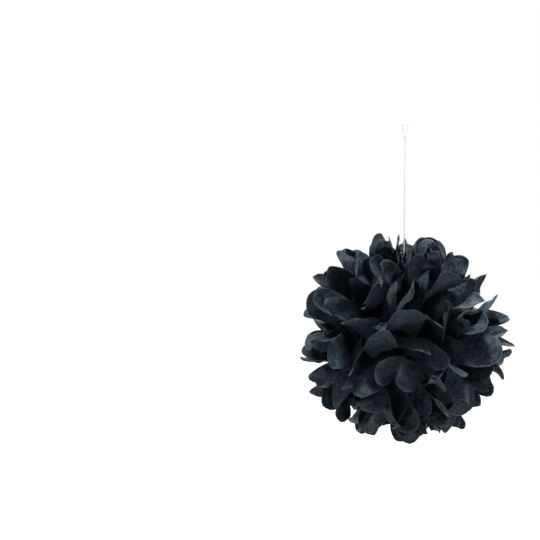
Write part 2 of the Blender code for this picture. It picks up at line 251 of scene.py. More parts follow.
@dataclass(frozen=True)
class BlackTissue:
    """Tissue paper, dyed black in the pulp and calendered on one side.

    To the eye it is a matt blue-black that is never quite even: short fibres make it faintly cloudy, light comes
    through a single sheet, the dye has rubbed off the sharp folds, and handling has left small hard creases. Near the
    rim the colour is also painted lighter, as painted light for the light that comes through a single sheet.
    """

    pulp: str = "141E26"
    cloud: str = "333F49"
    # the rubbed colour of the folds, also painted at the rim as painted light coming through a single sheet
    rubbed_and_lit_through: str = "4E565D"
    through: str = "3E4851"
    haze: str = "C9CDD2"
    fibre_mm: float = 4.4  # real fibres are 1 to 2 mm long, and are drawn coarser so that they show
    fibre_turn: float = 0.35  # radians
    cloud_mm: float = 11.0
    crinkle_mm: float = 30.0
    pleat: float = 0.062
    rubbed_full: float = 0.004  # how far from a fold the dye is all rubbed off, in pleats
    rubbed_end: float = 0.016  # how far from it the rubbing ends
    let_through: float = 0.22  # the share of the light that comes through the sheet

    def make(self) -> bpy.types.Material:
        """Makes the material, which reads the sheets' UV maps in metres.

        Returns:
            The material.
        """
        material, tree = empty_material("black_tissue_paper_calendered")
        flat = add_node(tree, "TexCoord").outputs["UV"]
        clouds = add_node(
            tree, "TexNoise",
            values={"Scale": per_metre(self.cloud_mm), "Detail": 5.0, "Roughness": 0.62, "Distortion": 0.4},
            links={"Vector": flat},
        )
        stretched = add_node(
            tree, "Mapping", values={"Scale": (1.0, 0.8, 1.0), "Rotation": (0.0, 0.0, self.fibre_turn)},
            links={"Vector": flat},
        )
        fibres = add_node(
            tree, "TexNoise",
            values={"Scale": per_metre(self.fibre_mm), "Detail": 3.0, "Roughness": 0.7, "Distortion": 1.2},
            links={"Vector": stretched},
        )
        cloudy = add_node(
            tree, "MapRange", values={"From Min": 0.4, "From Max": 0.6, "To Min": 0.2, "To Max": 0.75},
            links={"Value": clouds},
        )
        fibrous = add_node(
            tree, "MapRange", values={"From Min": 0.44, "From Max": 0.56, "To Min": -0.85, "To Max": 0.85},
            links={"Value": fibres},
        )
        shade = add_node(
            tree, "Math", settings={"operation": "ADD", "use_clamp": True},
            links={0: cloudy, 1: fibrous},
        )
        dyed = add_node(
            tree, "Mix", settings={"data_type": "RGBA"},
            values={"A": linear(self.pulp), "B": linear(self.cloud)},
            links={"Factor": shade},
        )

        # The dye is rubbed off in a broken line a millimetre or two wide along each pleat's fold
        split = add_node(tree, "SeparateXYZ", links={"Vector": flat})
        pleats = add_node(
            tree, "Math", settings={"operation": "MULTIPLY"}, values={1: 1.0 / self.pleat},
            links={0: split.outputs["X"]},
        )
        fold = add_node(
            tree, "Math", settings={"operation": "PINGPONG"}, values={1: 0.5},
            links={0: pleats},
        )
        on_fold = add_node(
            tree, "MapRange",
            values={"From Min": self.rubbed_full, "From Max": self.rubbed_end, "To Min": 1.0, "To Max": 0.0},
            links={"Value": fold},
        )
        broken = add_node(
            tree, "MapRange", values={"From Min": 0.42, "From Max": 0.62, "To Min": 0.1, "To Max": 0.8},
            links={"Value": clouds},
        )
        rubbing = add_node(
            tree, "Math", settings={"operation": "MULTIPLY"},
            links={0: on_fold, 1: broken},
        )
        # Near the rim the same colour is painted in as painted light, for light coming through a single sheet
        rim = add_node(tree, "Attribute", settings={"attribute_name": "rim"})
        rubbed_and_rim_lit = add_node(
            tree, "Math", settings={"operation": "MAXIMUM"},
            links={0: rubbing, 1: rim.outputs["Fac"]},
        )
        coloured = add_node(
            tree, "Mix", settings={"data_type": "RGBA"}, values={"B": linear(self.rubbed_and_lit_through)},
            links={"Factor": rubbed_and_rim_lit, "A": dyed},
        )

        # Hard crinkles among the creases that are modelled, and the tooth of the paper
        crinkles = add_node(
            tree, "TexVoronoi", settings={"feature": "DISTANCE_TO_EDGE"},
            values={"Scale": per_metre(self.crinkle_mm), "Randomness": 1.0}, links={"Vector": flat},
        )
        ridged = add_node(
            tree, "Math", settings={"operation": "MINIMUM"}, values={1: 0.5},
            links={0: crinkles},
        )
        crinkled = add_node(
            tree, "Bump", values={"Strength": 1.0, "Distance": 0.0045},
            links={"Height": ridged},
        )
        toothed = add_node(
            tree, "Bump", values={"Strength": 0.8, "Distance": 0.0016},
            links={"Height": fibres, "Normal": crinkled},
        )
        dulled = add_node(
            tree, "MapRange", values={"From Min": 0.3, "From Max": 0.7, "To Min": 0.42, "To Max": 0.6},
            links={"Value": fibres},
        )
        face = add_node(
            tree, "BsdfPrincipled",
            values={
                "IOR": 1.47, "Specular IOR Level": 0.15, "Sheen Weight": 0.08, "Sheen Roughness": 0.4,
                "Sheen Tint": linear(self.haze),
            },
            links={
                "Base Color": coloured, "Roughness": dulled,
                "Normal": toothed,
            },
        )
        glow = add_node(
            tree, "BsdfTranslucent", values={"Color": linear(self.through)},
            links={"Normal": crinkled},
        )
        both = add_node(
            tree, "MixShader", values={"Fac": self.let_through},
            links={1: face, 2: glow},
        )
        add_node(tree, "OutputMaterial", links={"Surface": both})
        return material


@dataclass(frozen=True)
class TwistedCotton:
    """White cotton thread, bleached and twisted in two plies.

    To the eye it is a soft grey-white, without gloss, under a haze of loose fibres, and its grooves between the plies
    are darkened with painted shade.
    """

    ply: str = "F2F2F3"
    groove: str = "C3C4C7"
    handled: str = "EEEEEF"
    fibre_mm: float = 0.5  # the spun fibres, drawn coarser than they are
    soil_mm: float = 30.0

    def make(self) -> bpy.types.Material:
        """Makes the material, which reads Object coordinates.

        Returns:
            The material.
        """
        material, tree = empty_material("bleached_cotton_cord_twisted")
        place = add_node(tree, "TexCoord").outputs["Object"]
        spun = add_node(
            tree, "TexNoise", values={"Scale": per_metre(self.fibre_mm), "Detail": 4.0, "Roughness": 0.7},
            links={"Vector": place},
        )
        soil = add_node(
            tree, "TexNoise", values={"Scale": per_metre(self.soil_mm), "Detail": 2.0}, links={"Vector": place},
        )
        # Painted shade: the colour is darkened in the grooves between the plies
        groove = add_node(tree, "Attribute", settings={"attribute_name": "groove"})
        shade = add_node(
            tree, "Math", settings={"operation": "MULTIPLY_ADD", "use_clamp": True}, values={1: 0.45},
            links={0: spun, 2: groove.outputs["Fac"]},
        )
        thread = add_node(
            tree, "Mix", settings={"data_type": "RGBA"},
            values={"A": linear(self.ply), "B": linear(self.groove)}, links={"Factor": shade},
        )
        handled = add_node(
            tree, "Mix", settings={"data_type": "RGBA", "blend_type": "MULTIPLY"},
            values={"B": linear(self.handled)}, links={"Factor": soil, "A": thread},
        )
        raised = add_node(
            tree, "Bump", values={"Strength": 0.6, "Distance": 0.0002},
            links={"Height": spun},
        )
        face = add_node(
            tree, "BsdfPrincipled",
            values={"Roughness": 0.88, "Specular IOR Level": 0.2, "Sheen Weight": 0.35, "Sheen Roughness": 0.6},
            links={"Base Color": handled, "Normal": raised},
        )
        add_node(tree, "OutputMaterial", links={"Surface": face})
        return material


@dataclass(frozen=True)
class DrawnSteel:
    """Soft florist's wire, drawn steel with a thin zinc coat.

    To the eye it is a dull grey metal with fine lines from the die and a few dark specks.
    """

    bright: str = "A6A8AA"
    dull: str = "6F7275"
    line_mm: float = 0.35  # the die's lines, drawn coarser than they are
    speck_mm: float = 1.6

    def make(self) -> bpy.types.Material:
        """Makes the material, which reads Object coordinates.

        Returns:
            The material.
        """
        material, tree = empty_material("zinc_coated_steel_wire_drawn")
        place = add_node(tree, "TexCoord").outputs["Object"]
        lines = add_node(
            tree, "TexNoise",
            values={"Scale": per_metre(self.line_mm), "Detail": 2.0, "Roughness": 0.5}, links={"Vector": place},
        )
        specks = add_node(
            tree, "TexNoise", values={"Scale": per_metre(self.speck_mm), "Detail": 3.0},
            links={"Vector": place},
        )
        spotted = add_node(
            tree, "MapRange", values={"From Min": 0.5, "From Max": 0.68},
            links={"Value": specks},
        )
        metal = add_node(
            tree, "Mix", settings={"data_type": "RGBA"},
            values={"A": linear(self.bright), "B": linear(self.dull)}, links={"Factor": spotted},
        )
        rough = add_node(
            tree, "MapRange", values={"To Min": 0.34, "To Max": 0.5},
            links={"Value": specks},
        )
        scored = add_node(
            tree, "Bump", values={"Strength": 0.3, "Distance": 0.00005},
            links={"Height": lines},
        )
        face = add_node(
            tree, "BsdfPrincipled", values={"Metallic": 1.0},
            links={
                "Base Color": metal, "Roughness": rough,
                "Normal": scored,
            },
        )
        add_node(tree, "OutputMaterial", links={"Surface": face})
        return material


@dataclass(frozen=True)
class WhitePaperSweep:
    """A sweep of matt white studio paper.

    The camera, and whatever mirrors or passes light, see it close to full white, and it still takes the shadow.
    """

    paper: str = "F1F1F0"
    lift: float = 0.75
    grain_mm: float = 8.0

    def make(self) -> bpy.types.Material:
        """Makes the floor's material.

        Returns:
            The material.
        """
        material, tree = empty_material("white_studio_paper_matt")
        place = add_node(tree, "TexCoord").outputs["Object"]
        grain = add_node(
            tree, "TexNoise", values={"Scale": per_metre(self.grain_mm), "Detail": 2.0}, links={"Vector": place},
        )
        grained = add_node(
            tree, "Bump", values={"Strength": 0.05, "Distance": 0.0005},
            links={"Height": grain},
        )
        paper = add_node(
            tree, "BsdfDiffuse", values={"Color": linear(self.paper), "Roughness": 0.4},
            links={"Normal": grained},
        )
        lift = add_node(tree, "Emission", values={"Color": (1.0, 1.0, 1.0, 1.0), "Strength": self.lift})
        lifted = add_node(
            tree, "AddShader", links={0: paper, 1: lift},
        )
        seen = Studio.seen_rays(tree)
        shown = add_node(
            tree, "MixShader", links={0: seen, 1: paper, 2: lifted},
        )
        add_node(tree, "OutputMaterial", links={"Surface": shown})
        return material


# The ball


@dataclass(frozen=True)
class SheetPlan:
    """What chance has settled for one sheet: its slope, its turn round the tie, and its folds and petals."""

    number: int
    slope: float
    turn: float
    folds: dict[End, np.ndarray]  # for each fold: how far round it is, its slope, and how deep its notch is
    petals: dict[End, np.ndarray]  # for each petal: its bulge, its curl and its extra height


@dataclass(frozen=True)
class Tip:
    """A petal whose tip is turned over along a crease."""

    crease: float  # how far the crease is from the tie
    tilt: float  # how far the crease is turned from square to the petal
    side: Side


@dataclass(frozen=True)
class Ball:
    """The ball of nine sheets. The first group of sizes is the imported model's own, and the rest is the finish's.

    A place on a sheet is given by its panel, by its part across that panel from 0 to 1, and by its distance from the
    tie. A share of the ball's radius runs from 0 at the tie to 1 at the rim.
    """

    radius: float = 0.201
    drop: float = 0.400  # from the top of the loop down to the ball's centre
    height_ratio: float = 0.93
    sheet_count: int = 9
    panel_count: int = 12  # across each end of a sheet, with one petal on each
    panel_width: float = 0.062
    petal_length: float = 0.048  # from the notches to the rim
    petal_height_spread: float = 0.012
    petal_bend: float = 6.0  # per metre, either way
    petal_cup: float = 0.3  # slope from a petal's middle to its edges, either way
    cup_level: float = 0.6  # of the crown's height, where a cupped petal keeps its place
    petal_stiffness: float = 0.9  # how nearly all of a free petal goes one way
    foot_step: float = 0.006  # how far inside the notches the way of a petal is taken from
    notch_spread: float = 0.006
    top_slope: float = math.radians(78.0)
    seam_azimuth: float = math.radians(-60.0)
    seam_gap: float = math.radians(4.0)
    sheet_turn: float = math.radians(16.0)
    first_pleat: float = math.radians(8.0)
    first_pleat_end: tuple[float, float] = (0.25, 0.2)  # the share where it starts to fade, and over how much
    nest_inner: float = 0.4  # the share inside which the first pleats are no steeper
    layer_margin: float = math.radians(1.1)
    free_room: float = 0.7  # the share of its room in which a sheet's slope isn't bent back
    free_rise: float = 0.88  # the same, towards the top and the bottom
    pleat_unevenness: float = 0.55
    least_rise: float = 0.005  # of a pleat, as its squared angle
    fold_height: float = 0.9  # how much of its height a fold keeps
    spread_start: float = 0.45  # the share where pleats stop being even
    spread_length: float = 0.40
    lift: float = math.radians(2.0)
    bulge: float = math.radians(5.0)
    curl: float = math.radians(7.0)
    curl_length: float = 0.3  # the outer share that curls
    patch_count: int = 14
    patch_turn: float = math.radians(68.0)
    patch_reach: float = math.radians(42.0)
    turn_range: tuple[float, float] = (0.6, 1.15)  # of each patch's turn
    reach_range: tuple[float, float] = (0.8, 1.15)  # of its reach
    patch_height: float = 0.9  # how near to the top and the bottom patches come
    patch_start: float = 0.6  # the azimuth of the first
    top_turn: float = math.radians(40.0)
    top_reach: float = math.radians(70.0)
    bottom_turn: float = math.radians(80.0)
    bottom_reach: float = math.radians(52.0)
    bottom_tilt: float = math.radians(16.0)
    still_share: float = 0.15  # nothing is turned nearer to the tie
    channel: float = math.radians(5.0)
    clear_channel: float = 0.7  # the share of it that stays clear for the string
    uneven_radius: float = 0.05
    uneven_waves: int = 5
    wave_range: tuple[float, float] = (2.5, 7.0)  # radians of a wave over the ball's radius
    petal_seed: int = 4
    patch_seed: int = 11
    neck_half_width: float = 0.0045
    neck_half_length: float = 0.0045
    neck_pitch: float = 0.0009
    neck_fade: float = 0.140  # the neck's offset is gone this far out

    thickness: float = 0.00012  # real tissue is about 0.05 mm
    smooth_under: float = math.radians(26.0)
    columns: int = 20  # across each petal
    rows: int = 56  # from the tie to the rim
    rim_crowding: float = 1.25  # brings the rows closer together towards the rim
    pleat_run: float = 0.256  # how far round the tie a pleat goes
    pleat_rise: float = 0.28  # how far it already goes up or down
    pinch_length: float = 1.36  # the angle over which the pleats' own slopes are pinched
    gather_inner: float = 0.02  # the gathering is even nearer to the tie than this
    most_pinched: float = 0.55
    deepest: float = 0.36
    gather_end: tuple[float, float] = (0.55, 0.2)  # the share where the gathering starts to fade, and over how much
    crease_spacing: tuple[float, ...] = (0.080, 0.052, 0.036, 0.025, 0.017)
    crease_depth: tuple[float, ...] = (0.0030, 0.0018, 0.0010, 0.0006, 0.0003)
    crease_ways: int = 3  # in which creases of one spacing run
    crease_bend: float = 0.12  # how far a crease strays, in spacings
    crease_bend_length: float = 0.7  # spacings to each radian of that bend
    crease_drift: float = 40.0  # per metre, how fast creases come and go
    crease_swing: float = 1.6  # how sharply they do
    crease_rest: float = 0.3  # how much of the paper they leave alone
    crease_inner: float = 0.03  # no crease turns the paper further nearer to the tie
    crease_room: float = 0.85  # of the layers' margin
    free_crease: float = 0.5  # the share of that room in which creases aren't bent back
    least_cosine: float = 0.1  # near the top and the bottom
    least_middle: float = 0.05  # near a petal's edges
    crease_start: tuple[float, float] = (0.2, 0.25)  # the share where creases begin, and over how much they grow
    flutter: float = 0.0007
    flutter_length: tuple[float, float] = (0.030, 0.060)
    soft_flutter: float = 1.8  # how much longer the soft waves are than the sharp ones
    soft_waves: int = 4
    sharp_waves: int = 8
    sharp_height: float = 0.6  # to the soft waves'
    flutter_start: tuple[float, float] = (0.35, 0.4)  # the share where it begins, and over how much it grows
    petal_twist: float = math.radians(36.0)  # at the tip, at most
    least_twist: float = 0.3  # of that
    petal_lean: float = 0.35
    rim_gap: float = 0.03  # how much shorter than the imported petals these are, so that they stay inside
    spike_share: float = 0.05
    spike_height: float = 0.014  # at most
    least_spike: float = 0.6  # of that
    spike_width: float = 0.17  # of a petal
    spike_power: float = 1.3
    snip_length: float = 0.009
    snips: tuple[tuple[float, float, float], ...] = ((0.0004, 2.3, 0.0), (0.0002, 5.1, 2.0))  # depth, rate, start
    tip_share: float = 0.08
    tip_depth: float = 0.008  # at least, and at most twice this
    tip_tilt: tuple[float, float] = (50.0, 25.0)  # degrees from end to end, and to one side
    tip_above: float = 0.7  # the share of tips that are turned upwards
    tip_roll: float = 0.0011
    tip_fall: float = 0.96  # how straight a turned tip lies back
    tip_spring: float = 0.05  # and how much it stands off
    light_through_rim: float = 0.015  # the outer share whose colour is painted lighter, as painted light coming through a single sheet
    # how much lighter the rim is painted, as painted light coming through a single sheet
    light_through_strength: float = 0.8
    mark_seed: int = 23

    @property
    def half_ring(self) -> float:
        """How far round one end of a sheet goes."""
        return math.pi - self.seam_gap

    @property
    def spacing(self) -> float:
        """The slope from one sheet to the next."""
        return 2.0 * self.top_slope / (self.sheet_count - 1)

    @property
    def flat_size(self) -> tuple[float, float]:
        """The width and length that a sheet is cut to before it is pleated."""
        length = 2.0 * (self.neck_half_length + self.radius - self.rim_gap * self.petal_length)
        return self.panel_width * self.panel_count, length

    def plan_end(self, rng: random.Random, slope: float) -> tuple[np.ndarray, np.ndarray]:
        """Chooses how one end of a sheet spreads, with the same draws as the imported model's.

        Args:
            rng: The source of chance.
            slope: The sheet's slope.

        Returns:
            The folds and the petals.
        """
        panel_angle = self.panel_width / (self.radius - self.petal_length / 2.0)
        unevenness = self.pleat_unevenness * math.sqrt(abs(math.cos(slope)))
        shares = [1.0 + rng.uniform(-unevenness, unevenness) for _ in range(self.panel_count)]
        along = [0.0]
        height = [0.0]
        for index, share in enumerate(shares):
            step = self.half_ring * share / sum(shares)
            rise = math.sqrt(max(self.least_rise, panel_angle**2 - (step * math.cos(slope)) ** 2))
            along.append(along[-1] + step)
            height.append(height[-1] + (rise if index % 2 == 0 else -rise))
        folds = []
        for index in range(self.panel_count + 1):
            before = height[max(0, index - 1)]
            after = height[min(self.panel_count, index + 1)]
            middle = (before + 2.0 * height[index] + after) / 4.0
            if index in (0, self.panel_count):
                middle = (before + after) / 2.0
            offset = self.fold_height * (height[index] - middle) + rng.uniform(-self.lift, self.lift)
            folds.append((along[index], offset, rng.uniform(-self.notch_spread, self.notch_spread)))
        spread = self.petal_height_spread
        petals = [
            (rng.uniform(-self.bulge, self.bulge), rng.uniform(-self.curl, self.curl), rng.uniform(-spread, spread))
            for _ in range(self.panel_count)
        ]
        return np.array(folds), np.array(petals)

    def plan_sheets(self) -> list[SheetPlan]:
        """Chooses every sheet's folds and petals, from the top sheet down.

        Returns:
            The plans.
        """
        rng = random.Random(self.petal_seed)
        plans = []
        for number in range(1, self.sheet_count + 1):
            slope = self.top_slope - self.spacing * (number - 1)
            first = self.plan_end(rng, slope)
            second = self.plan_end(rng, slope)
            turn = self.sheet_turn if number % 2 else -self.sheet_turn
            folds = {End.FIRST: first[0], End.SECOND: second[0]}
            petals = {End.FIRST: first[1], End.SECOND: second[1]}
            plans.append(SheetPlan(number, slope, turn, folds, petals))
        return plans

    def plan_patches(self) -> list[tuple[np.ndarray, float, float]]:
        """Chooses the patches of petals that fluffing has turned.

        Returns:
            For each patch its axis, its turn and its reach.
        """
        rng = random.Random(self.patch_seed)
        tilt = self.bottom_tilt
        patches = [
            (np.array((0.0, 0.0, 1.0)), self.top_turn, self.top_reach),
            (np.array((0.0, -math.sin(tilt), -math.cos(tilt))), self.bottom_turn, self.bottom_reach),
        ]
        for index in range(self.patch_count):
            height = self.patch_height * (1.0 - 2.0 * (index + 0.5) / self.patch_count)
            azimuth = index * GOLDEN_ANGLE + self.patch_start
            across = math.sqrt(1.0 - height * height)
            turn = rng.choice((-1.0, 1.0)) * self.patch_turn * rng.uniform(*self.turn_range)
            reach = min(self.patch_reach * rng.uniform(*self.reach_range), math.acos(height) - self.channel)
            patches.append((np.array((across * math.cos(azimuth), across * math.sin(azimuth), height)), turn, reach))
        return patches

    def plan_waves(self) -> list[tuple[np.ndarray, float]]:
        """Chooses the long waves that make the ball's outline uneven.

        Returns:
            For each wave its way and its start.
        """
        rng = random.Random(self.patch_seed + 1)
        waves = []
        for _ in range(self.uneven_waves):
            way = Vector((rng.gauss(0.0, 1.0), rng.gauss(0.0, 1.0), rng.gauss(0.0, 1.0))).normalized()
            waves.append((np.array(way * rng.uniform(*self.wave_range)), rng.uniform(0.0, 2.0 * math.pi)))
        return waves

    def fold_place(
        self, plan: SheetPlan, end: End, index: np.ndarray, radius: np.ndarray
    ) -> tuple[np.ndarray, np.ndarray]:
        """Finds where folds run at some radius.

        Args:
            plan: The sheet's plan.
            end: Which end of the sheet.
            index: The folds' numbers.
            radius: The radius at each.

        Returns:
            Their azimuths, and their slopes from the sheet's own.
        """
        folds = plan.folds[end]
        spread = eased((radius / self.radius - self.spread_start) / self.spread_length)
        even = self.half_ring * index / self.panel_count
        along = self.seam_gap / 2.0 + even + (folds[index, 0] - even) * spread
        azimuth = self.seam_azimuth + plan.turn * spread + end.value * along
        chord = math.cos(plan.slope) * self.half_ring / self.panel_count
        width = self.panel_width / np.maximum(radius, self.nest_inner * self.radius)
        nested = np.minimum(self.first_pleat, 0.5 * np.sqrt(np.maximum(0.0, width**2 - chord**2)))
        nested = np.where(index % 2 == 1, nested, -nested)
        return azimuth, nested + (folds[index, 1] - nested) * spread

    def gathered(self, azimuth: np.ndarray, rise: np.ndarray, radius: np.ndarray) -> np.ndarray:
        """Deepens the pleats towards the tie, where a petal's whole width is packed into a narrow wedge.

        Every sheet is moved alike, so none passes through the next.

        Args:
            azimuth: The points' azimuths.
            rise: Their slopes.
            radius: Their radii.

        Returns:
            The new slopes.
        """
        start, length = self.gather_end
        away = np.abs((azimuth - self.seam_azimuth + math.pi) % (2.0 * math.pi) - math.pi)
        fold = (away - self.seam_gap / 2.0) / (self.half_ring / self.panel_count)
        odd = 0.5 - 0.5 * triangle(fold / 2.0)
        width = self.panel_width / np.maximum(radius, self.gather_inner)
        fading = 1.0 - eased((radius / self.radius - start) / length)
        pinch = np.clip((width - self.pleat_rise) / self.pinch_length, 0.0, self.most_pinched) * fading
        rise = rise * (1.0 - pinch * np.where(rise > 0.0, 1.0 - odd, odd))
        deep = 0.5 * (np.sqrt(np.maximum(0.0, width**2 - self.pleat_run**2)) - self.pleat_rise)
        return rise + np.clip(deep, 0.0, self.deepest) * fading * (2.0 * odd - 1.0) * np.cos(rise)

    def turned(self, way: np.ndarray, share: np.ndarray) -> np.ndarray:
        """Turns directions with the patches around them, more the further out they are.

        Args:
            way: The directions.
            share: How far out each is, from 0 at the tie to 1 at the rim.

        Returns:
            The turned directions.
        """
        grown = eased((share - self.still_share) / (1.0 - self.still_share))
        for axis, turn, reach in self.plan_patches():
            away = np.arccos(np.clip(way @ axis, -1.0, 1.0))
            angle = np.where(away < reach, turn * (1.0 - eased(away / reach)) * grown, 0.0)[:, None]
            along = (way @ axis)[:, None] * axis
            way = way * np.cos(angle) + np.cross(axis, way) * np.sin(angle) + along * (1.0 - np.cos(angle))
        return way

    def creases(self, number: int, across: np.ndarray, along: np.ndarray) -> np.ndarray:
        """Makes the creases that handling has left, as flat facets between nearly straight ridges.

        Args:
            number: The sheet's number, which settles where its creases lie.
            across: The points' places across the flat sheet, in metres.
            along: Their places along it.

        Returns:
            How far each point is lifted.
        """
        chance = np.random.default_rng((self.mark_seed, CREASE_DRAWS + number))
        height = np.zeros_like(across)
        for spacing, depth in zip(self.crease_spacing, self.crease_depth):
            for _ in range(self.crease_ways):
                angle = chance.uniform(0.0, math.pi)
                sideways = across * math.sin(angle) - along * math.cos(angle)
                bend = self.crease_bend * spacing * np.sin(
                    sideways / (self.crease_bend_length * spacing) + chance.uniform(0.0, ANY_PHASE)
                )
                line = (across * math.cos(angle) + along * math.sin(angle) + bend) / spacing
                drift = chance.uniform(-self.crease_drift, self.crease_drift, 2)
                here = 0.5 + 0.5 * np.sin(across * drift[0] + along * drift[1] + chance.uniform(0.0, ANY_PHASE))
                height += depth * triangle(line + chance.uniform()) * eased(self.crease_swing * here - self.crease_rest)
        return height

    def plan_marks(self, plan: SheetPlan, end: End) -> tuple[np.ndarray, np.ndarray, dict[int, Tip]]:
        """Chooses what the scissors and the fluffing left: spikes at some folds, leaning petals, turned tips.

        Args:
            plan: The sheet's plan.
            end: Which end of the sheet.

        Returns:
            Each fold's spike, each petal's lean, and the petals with turned tips.
        """
        chance = np.random.default_rng((self.mark_seed, plan.number, end.value + 1))
        count = self.panel_count
        spikes = np.where(chance.uniform(size=count + 1) < self.spike_share, 1.0, 0.0)
        spikes *= self.spike_height * chance.uniform(self.least_spike, 1.0, count + 1)
        leans = chance.uniform(-self.petal_lean, self.petal_lean, count)
        tips = {}
        for index in range(count):
            turned, depth, tilt, side = chance.uniform(size=4)
            if turned < self.tip_share:
                crease = self.radius - self.tip_depth - self.tip_depth * depth
                tilted = math.radians(self.tip_tilt[0] * tilt - self.tip_tilt[1])
                tips[index] = Tip(crease, tilted, Side.ABOVE if side < self.tip_above else Side.BELOW)
        return spikes, leans, tips

    def turn_tips(
        self, tips: dict[int, Tip], index: np.ndarray, part: np.ndarray, radius: np.ndarray
    ) -> tuple[np.ndarray, np.ndarray, np.ndarray]:
        """Turns the tips over, each round a small roll and back on to its own petal.

        Args:
            tips: The tips, by their petals' numbers.
            index: The petal that each point is on.
            part: The point's place across its petal.
            radius: Its radius.

        Returns:
            The places across the petals, the radii, and how far each point is lifted off its petal.
        """
        lifted = np.zeros_like(radius)
        for number, tip in tips.items():
            sine, cosine = math.sin(tip.tilt), math.cos(tip.tilt)
            across = (part - 0.5) * self.panel_width
            past = across * sine + (radius - tip.crease) * cosine
            turning = (index == number) & (past > 0.0)
            round_it = math.pi * self.tip_roll
            rolled = np.where(
                past < round_it, self.tip_roll * np.sin(past / self.tip_roll), -self.tip_fall * (past - round_it)
            )
            off = np.where(past < round_it, 1.0 - np.cos(past / self.tip_roll), 2.0) * self.tip_roll
            off = off + self.tip_spring * np.maximum(past - round_it, 0.0)
            part = np.where(turning, part + (rolled - past) * sine / self.panel_width, part)
            radius = np.where(turning, radius + (rolled - past) * cosine, radius)
            lifted = np.where(turning, off * tip.side.value, lifted)
        return part, radius, lifted

    def pleated_points(
        self, plan: SheetPlan, end: End, index: np.ndarray, part: np.ndarray, radius: np.ndarray, height: np.ndarray
    ) -> np.ndarray:
        """Places points of one end of a sheet where its panels are still joined at their folds.

        Args:
            plan: The sheet's plan.
            end: Which end of the sheet.
            index: The panel that each point is on.
            part: The point's place across its panel.
            radius: Its distance from the tie.
            height: How far a crease lifts it off its panel.

        Returns:
            The points from the ball's centre.
        """
        bulge, curl, _ = plan.petals[end][index].T
        share = radius / self.radius
        first = self.fold_place(plan, end, index, radius)
        second = self.fold_place(plan, end, index + 1, radius)
        azimuth = first[0] + (second[0] - first[0]) * part
        offset = first[1] + (second[1] - first[1]) * part
        offset = offset + bulge * np.sin(math.pi * np.clip(part, 0.0, 1.0)) * share**2
        offset = offset + curl * np.maximum(0.0, (share - (1.0 - self.curl_length)) / self.curl_length) ** 2
        start, length = self.first_pleat_end
        nested = self.first_pleat * (1.0 - eased((share - start) / length))
        room = self.spacing / 2.0 - self.layer_margin + nested
        rise = plan.slope + held_within(offset, room, self.free_room)
        rise = held_within(rise, math.pi / 2.0 - self.clear_channel * self.channel, self.free_rise)

        # A crease stands off the panel's own plane, and stays inside the sheet's layer
        run = (second[0] - first[0]) * end.value * np.cos(rise)
        climb = second[1] - first[1]
        span = np.hypot(run, climb)
        arm = np.maximum(radius, self.crease_inner)
        sideways = -height * climb / span * end.value / (arm * np.maximum(np.cos(rise), self.least_cosine))
        upright = height * run / span / arm
        azimuth = azimuth + sideways
        rise = rise + held_within(upright, self.crease_room * self.layer_margin, self.free_crease)
        rise = self.gathered(azimuth, rise, radius)

        way = np.stack([np.cos(rise) * np.cos(azimuth), np.cos(rise) * np.sin(azimuth), np.sin(rise)], axis=-1)
        way = self.turned(way, share)
        swell = sum(np.sin(way @ wave + start) for wave, start in self.plan_waves())
        radius = radius * (1.0 + self.uneven_radius * swell / (0.5 * self.uneven_waves) * share)
        points = way * np.array((1.0, 1.0, self.height_ratio)) * radius[:, None]
        return points + self.fluttered(points, share)

    def end_points(
        self, plan: SheetPlan, end: End, across: np.ndarray, out: np.ndarray
    ) -> tuple[np.ndarray, np.ndarray]:
        """Places the points of one end of a sheet.

        Args:
            plan: The sheet's plan.
            end: Which end of the sheet.
            across: For each point, the panel that it is on, as a number with a fraction.
            out: From 0 at the tie to 1 at the petals' rim.

        Returns:
            The points from the ball's centre, and each one's distance from the tie on the flat sheet.
        """
        folds = plan.folds[end]
        spikes, leans, tips = self.plan_marks(plan, end)
        index = np.minimum(across.astype(int), self.panel_count - 1)
        part = across - index
        leaning = part + leans[index] * part * (1.0 - part)
        arch = np.sqrt(np.maximum(0.0, 1.0 - (2.0 * leaning - 1.0) ** 2))
        notch = self.radius - self.petal_length + folds[index, 2] + (folds[index + 1, 2] - folds[index, 2]) * part
        rim = notch + (1.0 - self.rim_gap) * (self.petal_length + plan.petals[end][index, 2]) * arch
        for beside, fold in ((part, index), (1.0 - part, index + 1)):
            rim = rim + spikes[fold] * np.maximum(0.0, 1.0 - beside / self.spike_width) ** self.spike_power
        for depth, rate, start in self.snips:
            rim = rim + depth * np.sin(rate * (across * self.panel_width / self.snip_length + plan.number) + start)
        flat = out * rim
        flat_across = across * self.panel_width
        part, radius, lifted = self.turn_tips(tips, index, part, flat)
        inner = np.minimum(radius, notch)
        middle = 1.0 - (2.0 * np.clip(part, 0.0, 1.0) - 1.0) ** 4
        low = self.creases(plan.number, flat_across, end.value * np.minimum(flat, notch))
        start, length = self.crease_start
        low = low * middle * eased((inner / self.radius - start) / length)
        points = self.pleated_points(plan, end, index, part, inner, low)

